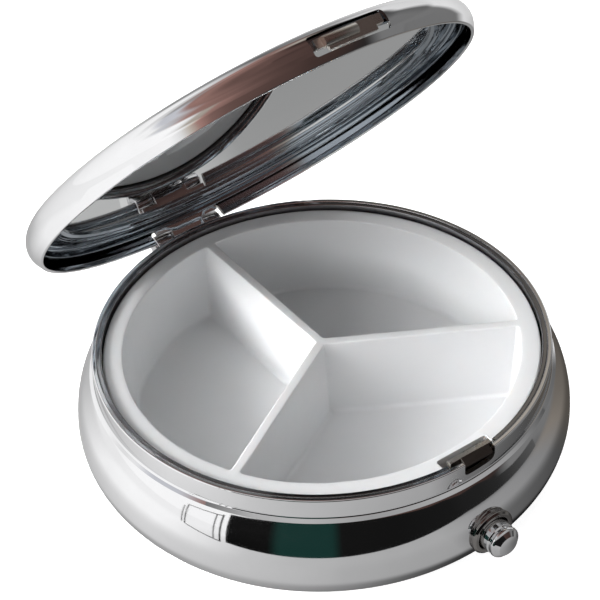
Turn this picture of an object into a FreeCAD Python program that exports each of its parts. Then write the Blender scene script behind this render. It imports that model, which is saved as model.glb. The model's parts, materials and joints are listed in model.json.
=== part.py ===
import FreeCAD, Part
import math
import os

from FreeCAD import Placement, Rotation, Vector

# Round pocket pill organizer: a spun steel box with a three-way plastic tray,
# a mirrored lid on a pin hinge at the back (+Y) and a push-button latch at the
# front (-Y).  Millimetres.  The origin is the centre of the underside, +Z up.
# Lid pieces are drawn closed and then swung open about the hinge pin.

os.makedirs("parts", exist_ok=True)
doc = FreeCAD.newDocument("PillOrganizer")
sheet = doc.addObject("Spreadsheet::Sheet", "Dims")

CELLS = [
    # box body
    ("belly_radius", 25.0), ("belly_level", 6.3), ("low_arc_radius", 5.0), ("high_arc_radius", 9.5),
    ("sheet_wall", 0.5), ("foot_radius", 19.7), ("skirt_turn_radius", 23.214), ("skirt_turn_level", 2.47),
    ("shoulder_radius", 23.316), ("shoulder_level", 11.7), ("neck_radius", 22.9), ("neck_top", 14.2),
    ("foot_groove_radius", 16.9), ("foot_groove_width", 0.8), ("foot_groove_depth", 0.25),
    # collar lining
    ("lining_radius", 21.9), ("lining_bottom", 11.9), ("seat_level", 12.95), ("seat_radius", 20.9), ("seat_thick", 0.45),
    # tray
    ("flange_radius", 21.8), ("flange_thick", 0.6), ("tray_radius", 20.35), ("tray_floor_radius", 19.7), ("tray_bottom", 3.9),
    ("well_radius", 19.85), ("well_depth", 8.85), ("web_thick", 0.95), ("well_draft", 3.0),
    # latch and button
    ("latch_side", 1.2), ("button_level", 6.35), ("button_radius", 1.65), ("button_front", 27.7), ("button_back", 23.3), ("bush_radius", 2.3),
    ("bush_bore", 1.75), ("bush_front", 25.5), ("bush_back", 23.3), ("plunger_radius", 0.9), ("stem_radius", 0.7),
    ("stem_end", 21.05), ("collar_radius", 2.2), ("collar_front", 23.25), ("plate_front", 22.95), ("plate_thick", 0.4),
    ("plate_step", 1.2), ("plate_half", 2.5), ("nose_half", 1.65), ("nose_reach", 22.65), ("nose_level", 13.5),
    ("guide_front", 21.15), ("guide_half", 4.2), ("guide_bottom", 4.4), ("guide_top", 9.6),
    ("spring_radius", 1.25), ("spring_wire", 0.22), ("notch_half", 1.9), ("notch_shift", 0.35), ("notch_level", 12.8), ("relief_half", 2.9),
    # lid
    ("lid_radius", 24.3), ("lid_bulge_radius", 2.0), ("lid_bulge_level", 13.6), ("lid_lip_radius", 23.75),
    ("lid_lip_level", 12.7), ("lid_rim_level", 12.05), ("lid_wall", 0.4), ("lid_crown", 0.35),
    ("bezel_radius", 20.2), ("bezel_wall_in", 23.1), ("bezel_wall_out", 23.45), ("bezel_edge", 13.5),
    ("bezel_level", 14.35), ("bezel_thick", 0.3),
    ("mirror_radius", 20.9), ("mirror_thick", 0.45), ("pad_radius", 20.5),
    ("window_half", 4.2), ("window_low", 12.75), ("window_high", 14.75), ("strike_tip", 22.05), ("strike_half", 1.4),
    ("strike_low", 12.95), ("strike_high", 13.35), ("bead_radius", 0.55),
    # hinge
    ("hinge_back", 24.7), ("hinge_level", 12.2), ("knuckle_radius", 1.1), ("pin_radius", 0.45), ("pin_play", 0.05),
    ("hinge_half", 4.0), ("barrel_half", 2.0), ("leaf_gap", 0.1), ("hinge_relief", 4.3), ("open_angle", 51.5),
]
for number, (alias, value) in enumerate(CELLS, 1):
    sheet.set("A%d" % number, alias)
    sheet.set("B%d" % number, "%.6g" % value)
    sheet.setAlias("B%d" % number, alias)
doc.recompute()


class Dim:
    """A length with the sheet formula that it comes from."""

    def __init__(self, value, text):
        self.value, self.text = float(value), text

    def __add__(self, other):
        other = as_dim(other)
        return Dim(self.value + other.value, "(%s + %s)" % (self.text, other.text))

    def __radd__(self, other):
        return as_dim(other) + self

    def __sub__(self, other):
        other = as_dim(other)
        return Dim(self.value - other.value, "(%s - %s)" % (self.text, other.text))

    def __rsub__(self, other):
        return as_dim(other) - self

    def __mul__(self, other):
        other = as_dim(other)
        return Dim(self.value * other.value, "(%s * %s)" % (self.text, other.text))

    def __rmul__(self, other):
        return as_dim(other) * self

    def __neg__(self):
        return Dim(-self.value, "(0 - %s)" % self.text)

    def root(self):
        return Dim(math.sqrt(self.value), "sqrt(%s)" % self.text)


def as_dim(number):
    return number if isinstance(number, Dim) else Dim(number, "%.6g" % number)


D = {alias: Dim(value, "Dims.%s" % alias) for alias, value in CELLS}


def bind(thing, prop, length):
    length = as_dim(length)
    thing.setExpression(prop, length.text)


# ---- sketches --------------------------------------------------------------

def new_body(name):
    return doc.addObject("PartDesign::Body", name)


def plane_of(body, role):
    return [item for item in body.Origin.OriginFeatures if item.Role == role][0]


def new_sketch(body, name, role, offset=None):
    made = body.newObject("Sketcher::SketchObject", name)
    made.AttachmentSupport = (plane_of(body, role), [""])
    made.MapMode = "FlatFace"
    if offset is not None:
        offset = as_dim(offset)
        made.AttachmentOffset = Placement(Vector(0, 0, offset.value), Rotation())
        made.setExpression("AttachmentOffset.Base.z", offset.text)
    return made


def outline(sketch, points):
    """A closed outline. Each point is (x, y) or (x, y, centre x, centre y, radius, turn) when
    the stretch from it to the next point is an arc; turn is 1 for anticlockwise."""
    corners = [(as_dim(p[0]), as_dim(p[1])) for p in points]
    count = len(points)
    ends = []
    for i, point in enumerate(points):
        a, b = corners[i], corners[(i + 1) % count]
        if len(point) == 2:
            geo = sketch.addGeometry(Part.LineSegment(Vector(a[0].value, a[1].value, 0), Vector(b[0].value, b[1].value, 0)), False)
            ends.append((geo, 1, 2))
            continue
        cx, cy, radius, turn = as_dim(point[2]), as_dim(point[3]), as_dim(point[4]), point[5]
        first = math.atan2(a[1].value - cy.value, a[0].value - cx.value)
        last = math.atan2(b[1].value - cy.value, b[0].value - cx.value)
        if turn < 0:
            first, last = last, first
        while last <= first:
            last += 2 * math.pi
        circle = Part.Circle(Vector(cx.value, cy.value, 0), Vector(0, 0, 1), radius.value)
        geo = sketch.addGeometry(Part.ArcOfCircle(circle, first, last), False)
        ends.append((geo, 1, 2) if turn > 0 else (geo, 2, 1))
    import Sketcher
    for i in range(count):
        geo, start, end = ends[i]
        following = ends[(i + 1) % count]
        sketch.addConstraint(Sketcher.Constraint("Coincident", geo, end, following[0], following[1]))
        x, y = corners[i]
        for kind, axis, length in (("DistanceX", -2, x), ("DistanceY", -1, y)):
            if abs(length.value) < 1e-9:
                sketch.addConstraint(Sketcher.Constraint("PointOnObject", geo, start, axis))
                continue
            made = sketch.addConstraint(Sketcher.Constraint(kind, -1, 1, geo, start, length.value))
            sketch.setExpression("Constraints[%d]" % made, length.text)
    for i, point in enumerate(points):
        if len(point) > 2:
            radius = as_dim(point[4])
            made = sketch.addConstraint(Sketcher.Constraint("Radius", ends[i][0], radius.value))
            sketch.setExpression("Constraints[%d]" % made, radius.text)
    return sketch


def revolve(body, sketch, name, axis="V_Axis"):
    made = body.newObject("PartDesign::Revolution", name)
    made.Profile = sketch
    made.ReferenceAxis = (sketch, [axis])
    made.Angle = 360.0
    sketch.Visibility = False
    body.Tip = made
    return made


def turned(name, points, axis="V_Axis", label=None):
    """A turned or spun piece. With V_Axis the outline is (radius, level)."""
    body = new_body(name)
    sketch = outline(new_sketch(body, name + "_outline", "XZ_Plane"), points)
    revolve(body, sketch, name + "_turn", axis)
    return body


# ---- plain solids ----------------------------------------------------------

def block(name, x0, x1, y0, y1, z0, z1):
    made = doc.addObject("Part::Box", name)
    x0, x1, y0, y1, z0, z1 = map(as_dim, (x0, x1, y0, y1, z0, z1))
    for prop, size in (("Length", x1 - x0), ("Width", y1 - y0), ("Height", z1 - z0)):
        setattr(made, prop, size.value)
        bind(made, prop, size)
    made.Placement = Placement(Vector(x0.value, y0.value, z0.value), Rotation())
    for prop, base in (("x", x0), ("y", y0), ("z", z0)):
        bind(made, "Placement.Base." + prop, base)
    return made


def rod(name, radius, start, length, along, at):
    """A round rod: along is X, Y or Z, at gives the other two coordinates."""
    made = doc.addObject("Part::Cylinder", name)
    radius, start, length = as_dim(radius), as_dim(start), as_dim(length)
    made.Radius, made.Height = radius.value, length.value
    bind(made, "Radius", radius)
    bind(made, "Height", length)
    a, b = as_dim(at[0]), as_dim(at[1])
    if along == "X":
        base, turn = (start, a, b), Rotation(Vector(0, 1, 0), 90)
    elif along == "Y":
        base, turn = (a, start, b), Rotation(Vector(1, 0, 0), -90)
    else:
        base, turn = (a, b, start), Rotation()
    made.Placement = Placement(Vector(*(c.value for c in base)), turn)
    for prop, value in zip("xyz", base):
        bind(made, "Placement.Base." + prop, value)
    return made


def slab(name, points, half):
    """An outline (y, z) in the YZ plane, made 2 * half thick about the middle."""
    body = new_body(name)
    sketch = outline(new_sketch(body, name + "_outline", "YZ_Plane"), points)
    pad = body.newObject("PartDesign::Pad", name + "_pad")
    pad.Profile = sketch
    pad.Midplane = True
    pad.Length = 2 * as_dim(half).value
    bind(pad, "Length", 2 * as_dim(half))
    sketch.Visibility = False
    body.Tip = pad
    return body


def cut(name, base, *tools):
    result = base
    for number, tool in enumerate(tools, 1):
        made = doc.addObject("Part::Cut", name if number == len(tools) else "%s_cut%d" % (name, number))
        made.Base, made.Tool = result, tool
        result = made
    return result


def fuse(name, *pieces):
    made = doc.addObject("Part::MultiFuse", name)
    made.Shapes = list(pieces)
    made.Refine = True
    return made


def common(name, *pieces):
    made = doc.addObject("Part::MultiCommon", name)
    made.Shapes = list(pieces)
    return made


NODES = {}


def node(name, thing, lid=False):
    thing.Label = name
    NODES[name] = (thing, lid)


R0 = D["sheet_wall"]
low_c = (D["belly_radius"] - D["low_arc_radius"], D["belly_level"])
high_c = (D["belly_radius"] - D["high_arc_radius"], D["belly_level"])

# ---- base shell ------------------------------------------------------------
# Spun steel: flat foot, belly bulging to the full diameter, a shoulder and a
# straight neck that the lid closes over.
turn_c = (D["skirt_turn_radius"], D["skirt_turn_level"])
in_low = D["low_arc_radius"] - R0
in_high = D["high_arc_radius"] - R0
ledge = D["shoulder_level"] - 0.45
ledge_r = high_c[0] + (in_high * in_high - (ledge - D["belly_level"]) * (ledge - D["belly_level"])).root()
groove_in = D["foot_groove_radius"] - 0.5 * D["foot_groove_width"]
groove_out = D["foot_groove_radius"] + 0.5 * D["foot_groove_width"]
shell_blank = turned("base_shell_blank", [
    (0, 0),
    (groove_in, 0),
    (groove_in + 0.2, D["foot_groove_depth"]),
    (groove_out - 0.2, D["foot_groove_depth"]),
    (groove_out, 0),
    (D["foot_radius"], 0),
    (D["foot_radius"] + 1.0, 0.35),
    (turn_c[0], turn_c[1], low_c[0], low_c[1], D["low_arc_radius"], 1),
    (D["belly_radius"], D["belly_level"], high_c[0], high_c[1], D["high_arc_radius"], 1),
    (D["shoulder_radius"], D["shoulder_level"]),
    (D["neck_radius"] + 0.3, D["shoulder_level"] + 0.05, D["neck_radius"] + 0.3, D["shoulder_level"] + 0.35, 0.3, -1),
    (D["neck_radius"], D["shoulder_level"] + 0.35),
    (D["neck_radius"], D["neck_top"] - 0.15, D["neck_radius"] - 0.15, D["neck_top"] - 0.15, 0.15, 1),
    (D["neck_radius"] - 0.15, D["neck_top"]),
    (D["neck_radius"] - R0, D["neck_top"]),
    (D["neck_radius"] - R0, ledge),
    (ledge_r, ledge, high_c[0], high_c[1], in_high, -1),
    (D["belly_radius"] - R0, D["belly_level"], low_c[0], low_c[1], in_low, -1),
    (turn_c[0] - 0.3215, turn_c[1] + 0.383),
    (D["foot_radius"] + 0.82, 0.85),
    (D["foot_radius"] - 0.15, R0),
    (0, R0),
])
button_hole = rod("base_button_hole", D["bush_radius"], -(D["belly_radius"] + 2), 5, "Y", (D["latch_side"], D["button_level"]))
latch_notch = block("base_latch_notch", D["latch_side"] + D["notch_shift"] - D["notch_half"], D["latch_side"] + D["notch_shift"] + D["notch_half"], -(D["neck_radius"] + 1), -(D["neck_radius"] - 2), D["notch_level"], D["neck_top"] + 1)
hinge_slot_low = block("base_hinge_slot_low", -D["hinge_relief"], D["hinge_relief"], 22.5, 27, 10.8, ledge)
hinge_slot_high = block("base_hinge_slot_high", -D["hinge_relief"], D["hinge_relief"], D["neck_radius"] + 0.05, 27, ledge, 13)
node("base_shell", cut("base_shell_body", shell_blank, button_hole, latch_notch, hinge_slot_low, hinge_slot_high))

# ---- collar lining ---------------------------------------------------------
# Pressed ring inside the neck with the seat that the tray hangs from.
lining = turned("collar_ring_blank", [
    (D["neck_radius"] - R0, D["lining_bottom"]),
    (D["neck_radius"] - R0, D["neck_top"]),
    (D["lining_radius"] + 0.15, D["neck_top"], D["lining_radius"] + 0.15, D["neck_top"] - 0.15, 0.15, 1),
    (D["lining_radius"], D["neck_top"] - 0.15),
    (D["lining_radius"], D["seat_level"]),
    (D["seat_radius"], D["seat_level"]),
    (D["seat_radius"], D["seat_level"] - D["seat_thick"]),
    (D["lining_radius"], D["seat_level"] - D["seat_thick"]),
    (D["lining_radius"], D["lining_bottom"]),
])
lining_relief = block("collar_latch_gap", D["latch_side"] - D["relief_half"], D["latch_side"] + D["relief_half"], -(D["neck_radius"] + 1), -18, 11, 16)
node("collar_ring", cut("collar_ring_body", lining, lining_relief))

# ---- tray ------------------------------------------------------------------
# One white moulding: a flanged cup with three drafted wells and their webs.
tray = new_body("pill_tray_mould")
tray_top = D["seat_level"] + D["flange_thick"]
tray_blank = outline(new_sketch(tray, "tray_outline", "XZ_Plane"), [
    (0, D["tray_bottom"]),
    (D["tray_floor_radius"] - 0.5, D["tray_bottom"], D["tray_floor_radius"] - 0.5, D["tray_bottom"] + 0.5, 0.5, 1),
    (D["tray_floor_radius"], D["tray_bottom"] + 0.5),
    (D["tray_radius"], D["seat_level"]),
    (D["flange_radius"], D["seat_level"]),
    (D["flange_radius"], tray_top - 0.2, D["flange_radius"] - 0.2, tray_top - 0.2, 0.2, 1),
    (D["flange_radius"] - 0.2, tray_top),
    (0, tray_top),
])
revolve(tray, tray_blank, "tray_turn")
half_web = 0.5 * D["web_thick"]
reach = (D["well_radius"] * D["well_radius"] - half_web * half_web).root()
well = outline(new_sketch(tray, "tray_well_outline", "XY_Plane", tray_top), [
    (half_web, 0.288675 * D["web_thick"]),
    (0.866025 * reach + 0.5 * half_web, 0.866025 * half_web - 0.5 * reach, 0, 0, D["well_radius"], 1),
    (half_web, reach),
])
pocket = tray.newObject("PartDesign::Pocket", "tray_well")
pocket.Profile = well
pocket.Length = D["well_depth"].value
bind(pocket, "Length", D["well_depth"])
pocket.TaperAngle = -D["well_draft"].value
tray.Tip = pocket
doc.recompute()
pattern = tray.newObject("PartDesign::PolarPattern", "tray_wells")
pattern.Originals = [pocket]
pattern.Axis = ([item for item in tray.Origin.OriginFeatures if item.Role == "Z_Axis"][0], [""])
pattern.Angle = 360.0
pattern.Occurrences = 3
tray.Tip = pattern
tray_relief = block("tray_latch_gap", D["latch_side"] - D["relief_half"] - 0.1, D["latch_side"] + D["relief_half"] + 0.1, -23, -20.35, D["seat_level"] - 0.1, 16)
node("pill_tray", cut("pill_tray_body", tray, tray_relief))

# ---- button bush, button, plunger ------------------------------------------
# Turned about the Y axis: outlines are (y, radius) about a lengthwise axis,
# then lifted to the level of the button.
def lathe(name, points):
    body = new_body(name)
    sketch = outline(new_sketch(body, name + "_outline", "XY_Plane"), [
        tuple([p[1], p[0]]) if len(p) == 2 else (p[1], p[0], p[3], p[2], p[4], p[5]) for p in points])
    revolve(body, sketch, name + "_turn", "V_Axis")
    body.Placement = Placement(Vector(D["latch_side"].value, 0, D["button_level"].value), Rotation())
    body.setExpression("Placement.Base.x", D["latch_side"].text)
    body.setExpression("Placement.Base.z", D["button_level"].text)
    return body


node("button_bush", lathe("bush", [
    (-D["bush_back"], D["bush_bore"]),
    (-D["bush_front"], D["bush_bore"]),
    (-D["bush_front"], D["bush_radius"] - 0.25),
    (-(D["bush_front"] - 0.25), D["bush_radius"]),
    (-D["bush_back"], D["bush_radius"]),
]))
node("push_button", lathe("button_cap", [
    (-D["button_back"], D["plunger_radius"]),
    (-(D["button_front"] - 1.5), D["plunger_radius"]),
    (-(D["button_front"] - 1.5), 0),
    (-D["button_front"], 0),
    (-(D["button_front"] - 0.05), D["button_radius"] - 0.7),
    (-(D["button_front"] - 0.65), D["button_radius"]),
    (-D["button_back"], D["button_radius"]),
]))
node("button_plunger", lathe("plunger", [
    (-(D["button_front"] - 1.5), 0),
    (-(D["button_front"] - 1.5), D["plunger_radius"]),
    (-D["collar_front"], D["plunger_radius"]),
    (-D["collar_front"], D["collar_radius"]),
    (-D["plate_front"], D["collar_radius"]),
    (-D["plate_front"], D["stem_radius"]),
    (-D["stem_end"], D["stem_radius"]),
    (-D["stem_end"], 0),
]))

# ---- latch hook ------------------------------------------------------------
# Bent plate on the plunger; its nose points outward through the neck's notch.
y_low_out = -D["plate_front"]
y_low_in = y_low_out + D["plate_thick"]
y_top_out = y_low_out + D["plate_step"]
y_top_in = y_top_out + D["plate_thick"]
hook_plate = slab("hook_plate", [
    (y_low_out, 4.7), (y_low_in, 4.7), (y_low_in, 10.0), (y_top_in, 11.0), (y_top_in, D["neck_top"] - 0.02),
    (y_top_out - 0.2, D["neck_top"] - 0.02), (y_top_out - 0.2, D["nose_level"]), (y_top_out, D["nose_level"]),
    (y_top_out, 11.2), (y_low_out, 10.2),
], D["plate_half"])
hook_nose = slab("hook_nose", [
    (y_top_out, D["nose_level"]), (y_top_out, D["neck_top"] - 0.02), (y_top_out - 0.2, D["neck_top"] - 0.02),
    (-D["nose_reach"], D["neck_top"] - 0.42), (-D["nose_reach"], D["nose_level"]),
], D["nose_half"])
hook_nose.Placement = Placement(Vector(D["notch_shift"].value, 0, 0), Rotation())
hook_nose.setExpression("Placement.Base.x", D["notch_shift"].text)
hook_hole = rod("hook_hole", D["stem_radius"], -24, 3, "Y", (0, D["button_level"]))
hook = cut("latch_hook_body", fuse("hook_blank", hook_plate, hook_nose), hook_hole)
hook.Placement = Placement(Vector(D["latch_side"].value, 0, 0), Rotation())
hook.setExpression("Placement.Base.x", D["latch_side"].text)
node("latch_hook", hook)

# ---- guide bracket behind the spring ----------------------------------------
inner_volume = turned("inner_volume", [
    (0, R0), (D["foot_radius"] - 0.15, R0), (D["foot_radius"] + 0.82, 0.85), (turn_c[0] - 0.3215, turn_c[1] + 0.383, low_c[0], low_c[1], in_low, 1),
    (D["belly_radius"] - R0, D["belly_level"], high_c[0], high_c[1], in_high, 1), (ledge_r, ledge), (0, ledge),
])
guide_plate = block("guide_plate", D["latch_side"] - D["guide_half"], D["latch_side"] + D["guide_half"], -D["guide_front"], -D["guide_front"] + 0.4, D["guide_bottom"], D["guide_top"])
guide_left = block("guide_left", D["latch_side"] - D["guide_half"], D["latch_side"] - D["guide_half"] + 0.4, -26, -D["guide_front"] + 0.1, D["guide_bottom"], D["guide_top"])
guide_right = block("guide_right", D["latch_side"] + D["guide_half"] - 0.4, D["latch_side"] + D["guide_half"], -26, -D["guide_front"] + 0.1, D["guide_bottom"], D["guide_top"])
guide_blank = common("guide_trimmed", fuse("guide_blank", guide_plate, guide_left, guide_right), inner_volume)
guide_hole = rod("guide_hole", D["stem_radius"] + 0.05, -24, 6, "Y", (D["latch_side"], D["button_level"]))
node("latch_guide", cut("latch_guide_body", guide_blank, guide_hole))

# ---- return spring -----------------------------------------------------------
spring = new_body("spring_coil")
wire_r = 0.5 * D["spring_wire"]
wire = new_sketch(spring, "spring_wire_section", "XZ_Plane")
import Sketcher
ring = wire.addGeometry(Part.Circle(Vector(D["spring_radius"].value, 0, 0), Vector(0, 0, 1), wire_r.value), False)
k = wire.addConstraint(Sketcher.Constraint("DistanceX", -1, 1, ring, 3, D["spring_radius"].value))
wire.setExpression("Constraints[%d]" % k, D["spring_radius"].text)
wire.addConstraint(Sketcher.Constraint("PointOnObject", ring, 3, -1))
k = wire.addConstraint(Sketcher.Constraint("Radius", ring, wire_r.value))
wire.setExpression("Constraints[%d]" % k, wire_r.text)
coil = spring.newObject("PartDesign::AdditiveHelix", "spring_turns")
coil.Profile = wire
coil.ReferenceAxis = (wire, ["V_Axis"])
coil.Mode = 2
coil.Height = 1.16
coil.Turns = 2.25
spring.Tip = coil
spring.Placement = Placement(Vector(D["latch_side"].value, -22.55 + 0.12, D["button_level"].value), Rotation(Vector(1, 0, 0), -90))
node("latch_spring", spring)

# ---- hinge, base side --------------------------------------------------------
hb, hl, kr = D["hinge_back"], D["hinge_level"], D["knuckle_radius"]
bore_fit = D["pin_radius"]
leaf_low = ledge - 0.4
base_plate = block("base_leaf_plate", -D["hinge_half"], D["hinge_half"], 21.7, 23.35, leaf_low, ledge)
pieces = [base_plate]
for side, sign in (("left", -1), ("right", 1)):
    inner = D["barrel_half"] + D["leaf_gap"]
    x0, x1 = (inner, D["hinge_half"]) if sign > 0 else (-D["hinge_half"], -inner)
    pieces.append(block("base_leaf_tab_" + side, x0, x1, 23.2, hb, leaf_low, ledge))
    pieces.append(rod("base_knuckle_" + side, kr, x0, x1 - x0, "X", (hb, hl)))
base_leaf_bore = rod("base_leaf_bore", bore_fit, -6, 12, "X", (hb, hl))
node("base_hinge_leaf", cut("base_hinge_leaf_body", fuse("base_leaf_blank", *pieces), base_leaf_bore))
pin = fuse("hinge_pin_body",
           rod("pin_shaft", D["pin_radius"], -(D["hinge_half"] + 0.15), 2 * D["hinge_half"] + 0.3, "X", (hb, hl)),
           rod("pin_head_left", D["pin_radius"] + 0.25, -(D["hinge_half"] + 0.25), 0.25, "X", (hb, hl)),
           rod("pin_head_right", D["pin_radius"] + 0.25, D["hinge_half"], 0.25, "X", (hb, hl)))
node("hinge_pin", pin)

# ---- lid ---------------------------------------------------------------------
bc, bl, br = D["lid_radius"] - D["lid_bulge_radius"], D["lid_bulge_level"], D["lid_bulge_radius"]
ir = br - D["lid_wall"]
drop = bl - D["lid_lip_level"]
lip_out = bc + (br * br - drop * drop).root()
lip_in = bc + (ir * ir - drop * drop).root()
crown = D["lid_crown"]


def crown_radius(edge, rise):
    return (edge * edge + rise * rise) * Dim(0.5 / rise.value, "(0.5 / %s)" % rise.text)


crown_r = crown_radius(bc, crown)
lid_blank = turned("lid_shell_blank", [
    (D["lid_lip_radius"] - D["lid_wall"], D["lid_rim_level"]),
    (D["lid_lip_radius"], D["lid_rim_level"]),
    (lip_out, D["lid_lip_level"], bc, bl, br, 1),
    (bc, bl + br, 0, bl + br + crown - crown_r, crown_r, 1),
    (0, bl + br + crown),
    (0, bl + ir + crown, 0, bl + ir + crown - crown_r, crown_r, -1),
    (bc, bl + ir, bc, bl, ir, -1),
    (lip_in, D["lid_lip_level"]),
])
lid_hinge_gap = block("lid_hinge_gap", -D["hinge_relief"], D["hinge_relief"], 22.9, 27, 11, 13.55)
lid_window = block("lid_window", D["latch_side"] - D["window_half"], D["latch_side"] + D["window_half"], -27, -22.8, D["window_low"], D["window_high"])
node("lid_shell", cut("lid_shell_body", lid_blank, lid_hinge_gap, lid_window), True)

node("mirror_bezel", turned("bezel", [
    (D["bezel_radius"], D["bezel_level"] + D["bezel_thick"]),
    (D["bezel_radius"], D["bezel_level"] + 0.1),
    (D["bezel_radius"] + 0.5, D["bezel_level"]),
    (D["bezel_wall_in"] - 0.3, D["bezel_level"], D["bezel_wall_in"] - 0.3, D["bezel_level"] - 0.3, 0.3, -1),
    (D["bezel_wall_in"], D["bezel_level"] - 0.3),
    (D["bezel_wall_in"], D["bezel_edge"]),
    (D["bezel_wall_out"], D["bezel_edge"]),
    (D["bezel_wall_out"], D["bezel_level"] + D["bezel_thick"]),
]), True)
glass_low = D["bezel_level"] + D["bezel_thick"]
glass_top = glass_low + D["mirror_thick"]
node("lid_mirror", turned("mirror", [
    (0, glass_low), (D["mirror_radius"], glass_low), (D["mirror_radius"], glass_top), (0, glass_top)]), True)
pad_edge = Dim(bl.value + ir.value + crown.value - crown_r.value + math.sqrt(crown_r.value ** 2 - D["pad_radius"].value ** 2),
               "(%s + sqrt(%s * %s - %s * %s))" % ((bl + ir + crown - crown_r).text, crown_r.text, crown_r.text, D["pad_radius"].text, D["pad_radius"].text))
node("mirror_pad", turned("pad", [
    (0, glass_top), (D["pad_radius"], glass_top),
    (D["pad_radius"], pad_edge, 0, bl + ir + crown - crown_r, crown_r, 1),
    (0, bl + ir + crown)]), True)

# lid hinge leaf: centre barrel on the pin and a curved leaf on the bezel's wall
leaf_ring = turned("lid_leaf_ring", [
    (D["bezel_wall_out"], 12.2), (D["bezel_wall_out"] + 0.25, 12.2),
    (D["bezel_wall_out"] + 0.25, D["bezel_level"]), (D["bezel_wall_out"], D["bezel_level"])])
leaf_keep = fuse("lid_leaf_keep",
                 block("lid_leaf_narrow", -D["barrel_half"], D["barrel_half"], 20, 26, 12, 13.2),
                 block("lid_leaf_wide", -3.9, 3.9, 20, 26, 13.0, 15))
leaf_web = block("lid_leaf_web", -D["barrel_half"], D["barrel_half"], 23.5, hb, 12.85, hl + kr)
barrel = rod("lid_barrel", kr, -D["barrel_half"], 2 * D["barrel_half"], "X", (hb, hl))
barrel_bore = rod("lid_barrel_bore", D["pin_radius"] + D["pin_play"], -6, 12, "X", (hb, hl))
node("lid_hinge_leaf", cut("lid_hinge_leaf_body", fuse("lid_leaf_blank", common("lid_leaf_strip", leaf_ring, leaf_keep), leaf_web, barrel), barrel_bore), True)

# strike: the tab that the latch nose holds, with a rolled bead in the window
strike_tab = block("strike_tab", D["latch_side"] - D["strike_half"], D["latch_side"] + D["strike_half"], -24.1, -D["strike_tip"], D["strike_low"], D["strike_high"])
strike_leg = block("strike_leg", D["latch_side"] - 2.6, D["latch_side"] + 2.6, -24.1, -23.75, D["strike_low"], D["bezel_level"])
strike_bead = rod("strike_bead", D["bead_radius"], D["latch_side"] - 2.9, 3.6, "X", (-24.0, 13.78))
strike_base = block("strike_foot", D["latch_side"] - 3.6, D["latch_side"] + 3.6, -23.85, -23.2, 13.45, D["bezel_level"])
strike_seat = rod("strike_seat", D["bezel_wall_out"], 13.4, 1.2, "Z", (0, 0))
node("lid_strike", cut("lid_strike_body", fuse("strike_blank", strike_tab, strike_leg, strike_base, strike_bead), strike_seat), True)

doc.recompute()

# ---- swing the lid's pieces open ----------------------------------------------
swing = Placement(Vector(0, 0, 0), Rotation(Vector(-1, 0, 0), D["open_angle"].value), Vector(0, hb.value, hl.value))
for name, (thing, lid) in NODES.items():
    if lid:
        thing.Placement = swing.multiply(thing.Placement)
doc.recompute()

bad = [item.Name for item in doc.Objects if "Invalid" in item.State or "Error" in item.State]
if bad:
    raise RuntimeError("objects failed: %s" % bad)
for name, (thing, lid) in NODES.items():
    shape = thing.Shape
    if shape.isNull() or not shape.isValid() or len(shape.Solids) < 1:
        raise RuntimeError("bad shape: %s" % name)
for name, (thing, lid) in NODES.items():
    box = thing.Shape.BoundBox
    print("%-18s solids %d volume %9.3f  x %.2f %.2f  y %.2f %.2f  z %.2f %.2f" % (
        name, len(thing.Shape.Solids), thing.Shape.Volume, box.XMin, box.XMax, box.YMin, box.YMax, box.ZMin, box.ZMax))
    thing.Shape.exportStep("parts/%s.step" % name)
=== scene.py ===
import json
import math

import bmesh
import bpy
import numpy as np
from mathutils import Matrix, Vector


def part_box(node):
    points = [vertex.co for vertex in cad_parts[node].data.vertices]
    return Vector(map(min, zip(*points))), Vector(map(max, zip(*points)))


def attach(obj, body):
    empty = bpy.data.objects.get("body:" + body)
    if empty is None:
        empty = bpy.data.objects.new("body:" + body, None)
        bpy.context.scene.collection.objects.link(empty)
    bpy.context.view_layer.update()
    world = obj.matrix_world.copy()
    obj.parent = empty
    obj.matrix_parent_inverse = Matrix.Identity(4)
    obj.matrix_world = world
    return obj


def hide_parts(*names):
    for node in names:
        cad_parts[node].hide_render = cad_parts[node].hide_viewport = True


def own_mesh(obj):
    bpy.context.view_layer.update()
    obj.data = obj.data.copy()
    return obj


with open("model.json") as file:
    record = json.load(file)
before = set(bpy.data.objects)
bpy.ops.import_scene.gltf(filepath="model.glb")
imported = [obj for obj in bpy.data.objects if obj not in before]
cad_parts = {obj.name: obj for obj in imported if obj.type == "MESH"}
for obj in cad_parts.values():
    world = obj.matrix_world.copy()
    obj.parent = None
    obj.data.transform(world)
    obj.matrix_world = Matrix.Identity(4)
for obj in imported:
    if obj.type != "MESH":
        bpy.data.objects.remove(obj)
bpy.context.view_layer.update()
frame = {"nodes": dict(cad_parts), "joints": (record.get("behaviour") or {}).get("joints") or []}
SCENE = bpy.context.scene
MM = 0.001
PI = math.pi

# The lid's pieces are drawn closed and swung open about the hinge pin, as far as the joint's
# travel back to the closed stop says.
HINGE = [j for j in frame["joints"] if j["name"] == "lid_hinge"][0]
OPEN = math.radians(-HINGE["range_deg"][0])
PIN = Vector(HINGE["pos_m"]) if "pos_m" in HINGE else Vector((0, 0.0247, 0.0122))
SWING = Matrix.Translation(PIN) @ Matrix.Rotation(OPEN, 4, Vector((-1, 0, 0))) @ Matrix.Translation(-PIN)


# ---- outlines ---------------------------------------------------------------
# An outline is a run of corners and arcs with the solid on its left. It becomes a list of
# edges, each with its two ends and the exact surface direction at both, so that a polished
# sheet reflects as a true surface and not as facets.

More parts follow.
